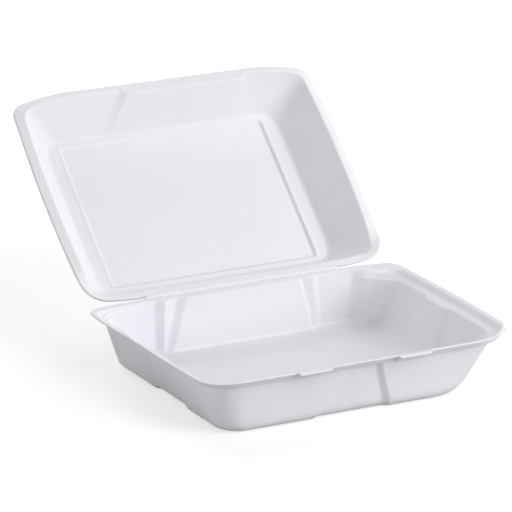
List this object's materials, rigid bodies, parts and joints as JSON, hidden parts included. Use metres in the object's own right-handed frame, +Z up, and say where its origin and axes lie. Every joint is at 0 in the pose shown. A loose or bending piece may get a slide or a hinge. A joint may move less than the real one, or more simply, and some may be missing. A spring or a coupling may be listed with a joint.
{
  "type": "hinged foam food container",
  "caption": "Shallow rectangular foam food box with a stepped rim, pressed walls, front catches and a dished lid hinged along its back edge, standing open.",
  "frame": {"origin": "on the table under the middle of the tray", "axes": "+X to the right along the hinge, +Y from the front catches to the hinge and the open lid, +Z up"},
  "size_m": [0.236, 0.2934, 0.1504],
  "materials": {
    "foam": "matte white foam sheet"
  },
  "bodies": {
    "tray": {"tray": "foam"},
    "lid": {"lid": "foam"}
  },
  "joints": [
    {"name": "lid_hinge", "type": "hinge", "parent": "tray", "child": "lid", "pos_m": [0, 0.0844, 0.0406], "axis": [1, 0, 0], "range_deg": [-41.9, 138]}
  ]
}
